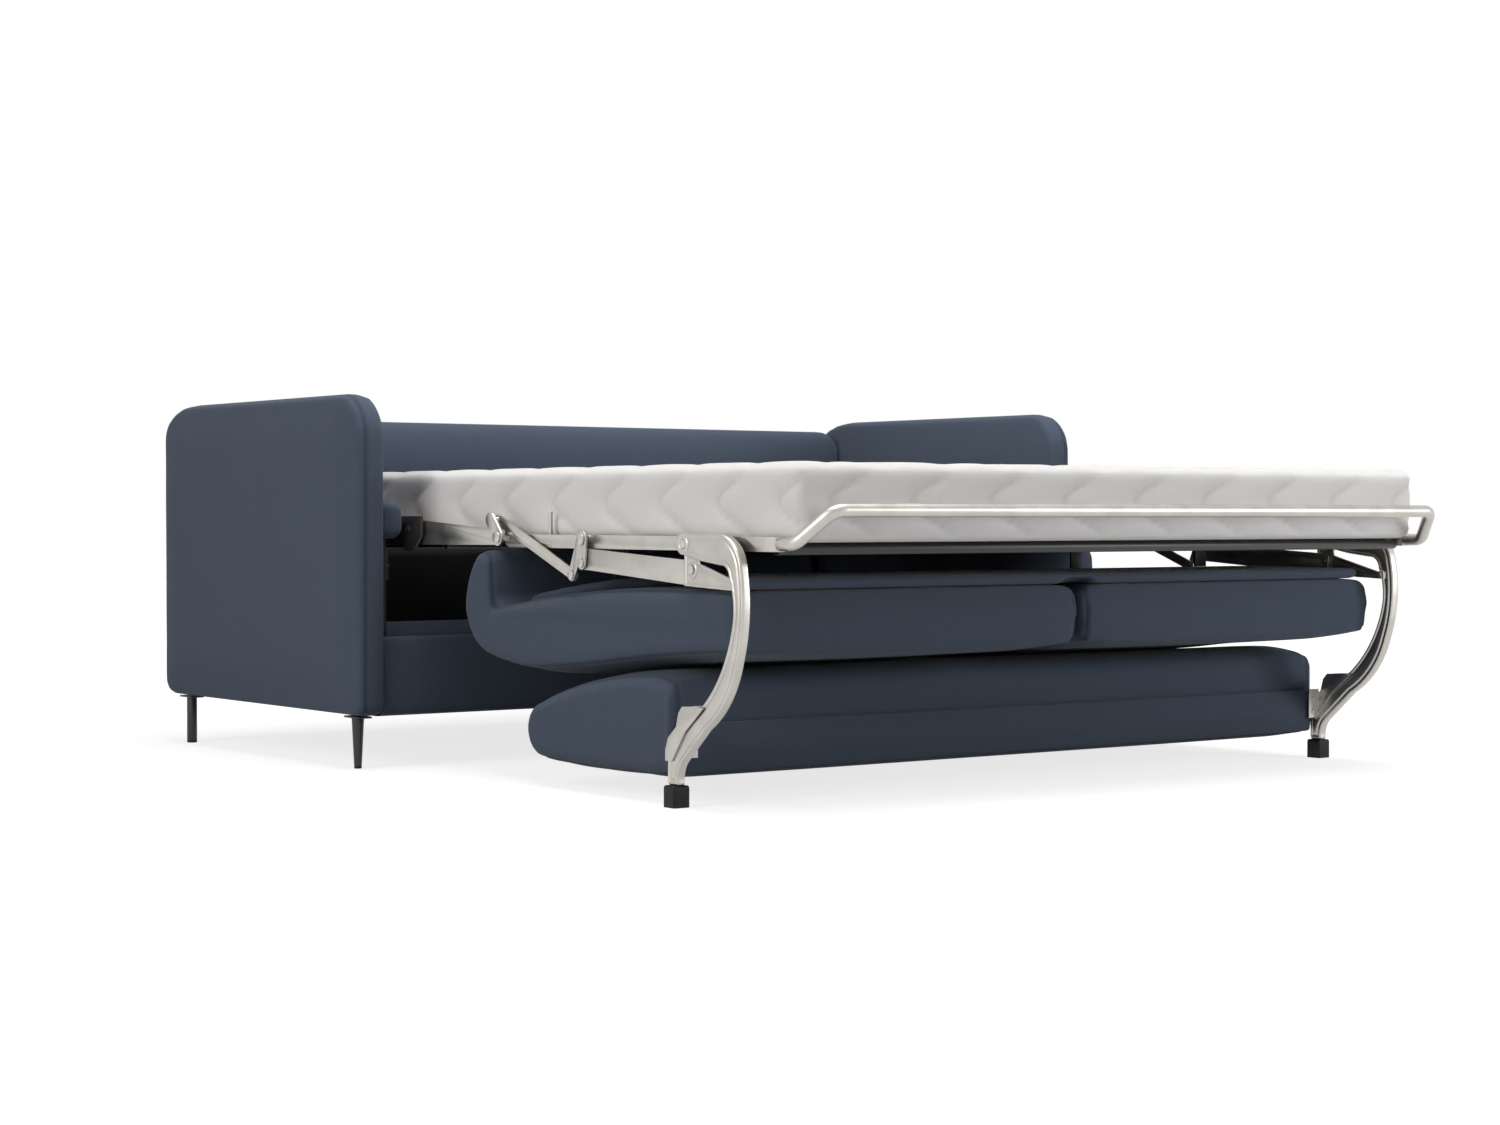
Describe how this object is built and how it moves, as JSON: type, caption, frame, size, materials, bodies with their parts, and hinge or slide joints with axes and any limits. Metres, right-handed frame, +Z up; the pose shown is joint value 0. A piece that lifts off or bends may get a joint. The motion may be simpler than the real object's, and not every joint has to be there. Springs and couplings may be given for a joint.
{
  "type": "sofa bed",
  "caption": "Upholstered sofa bed, opened out: fold-over steel bed frame with quilted mattress, hanging seat and back cushions and curved bed legs.",
  "frame": {"origin": "middle of the opened sofa bed's footprint, on the floor", "axes": "+X to the sleeper's right seen from the foot end, +Y towards the sofa's back, +Z up"},
  "size_m": [1.986, 2.26, 0.78],
  "materials": {
    "upholstery": "slate blue woven upholstery",
    "mattress_ticking": "white quilted knit",
    "frame_paint": "pale grey powder coat",
    "black_metal": "satin black powder coat",
    "bare_steel": "zinc-plated pins and screws",
    "slat_wood": "bent beech slats",
    "frame_wood": "raw board inside the shell",
    "liner": "black dust cover",
    "rubber": "black rubber foot",
    "glide": "black plastic glide"
  },
  "bodies": {
    "sofa_base": {"left_arm": "upholstery", "right_arm": "upholstery", "back_panel": "upholstery", "front_panel": "upholstery", "front_rail": "upholstery", "rear_rail": "frame_wood", "left_side_frame": "frame_wood", "right_side_frame": "frame_wood", "left_arm_bolster": "upholstery", "right_arm_bolster": "upholstery", "bottom_liner": "liner", "front_legs": "black_metal", "rear_legs": "black_metal", "leg_glides": "glide", "leg_plates": "black_metal", "left_mount_plate": "black_metal", "right_mount_plate": "black_metal", "mount_screws": "bare_steel", "lift_pins": "bare_steel"},
    "head_section": {"left_head_rail": "frame_paint", "right_head_rail": "frame_paint", "head_cross_tubes": "black_metal", "head_slats": "slat_wood", "fold_pins": "bare_steel", "mattress_head": "mattress_ticking"},
    "foot_section": {"left_foot_rail": "frame_paint", "right_foot_rail": "frame_paint", "foot_cross_tubes": "black_metal", "foot_slats": "slat_wood", "foot_loop": "frame_paint", "mattress_stops": "frame_paint", "crank_pins": "bare_steel", "leg_pivot_pins": "bare_steel", "seat_board": "upholstery", "seat_hangers": "black_metal", "left_seat_cushion": "upholstery", "right_seat_cushion": "upholstery", "mattress_foot": "mattress_ticking"},
    "bell_cranks": {"left_bell_crank": "frame_paint", "right_bell_crank": "frame_paint", "crank_rivets": "bare_steel"},
    "drive_links": {"left_drive_link": "frame_paint", "right_drive_link": "frame_paint"},
    "pull_links": {"left_pull_link": "frame_paint", "right_pull_link": "frame_paint"},
    "leg_unit": {"left_bed_leg": "frame_paint", "right_bed_leg": "frame_paint", "left_foot_cap": "rubber", "right_foot_cap": "rubber", "left_leg_bracket": "frame_paint", "right_leg_bracket": "frame_paint", "bracket_screws": "bare_steel", "leg_rivets": "bare_steel", "back_cushion": "upholstery", "back_board": "upholstery"}
  },
  "joints": [
    {"name": "head_tilt", "type": "hinge", "parent": "sofa_base", "child": "head_section", "pos_m": [0, 0.205, 0.497], "axis": [-1, 0, 0], "range_deg": [0, 14.5]},
    {"name": "bed_fold", "type": "hinge", "parent": "head_section", "child": "foot_section", "pos_m": [0, -0.138, 0.482], "axis": [-1, 0, 0], "range_deg": [0, 80], "deforming": ["mattress_head", "mattress_foot"]},
    {"name": "crank_turn", "type": "hinge", "parent": "foot_section", "child": "bell_cranks", "pos_m": [0, -0.422, 0.48], "axis": [-1, 0, 0], "range_deg": [0, 44.5]},
    {"name": "drive_link_turn", "type": "hinge", "parent": "bell_cranks", "child": "drive_links", "pos_m": [0, -0.387, 0.411], "axis": [-1, 0, 0], "range_deg": [-45.3, 0]},
    {"name": "pull_link_turn", "type": "hinge", "parent": "bell_cranks", "child": "pull_links", "pos_m": [0, -0.422, 0.434], "axis": [-1, 0, 0], "range_deg": [-44.5, 0]},
    {"name": "leg_swing", "type": "hinge", "parent": "foot_section", "child": "leg_unit", "pos_m": [0, -0.785, 0.474], "axis": [-1, 0, 0], "range_deg": [0, 44.5]}
  ],
  "couplings": [
    {"joint": "head_tilt", "follows": "bed_fold", "ratio": 0.175},
    {"joint": "crank_turn", "follows": "bed_fold", "ratio": 0.55},
    {"joint": "drive_link_turn", "follows": "bed_fold", "ratio": -0.56},
    {"joint": "pull_link_turn", "follows": "bed_fold", "ratio": -0.55},
    {"joint": "leg_swing", "follows": "bed_fold", "ratio": 0.55}
  ]
}
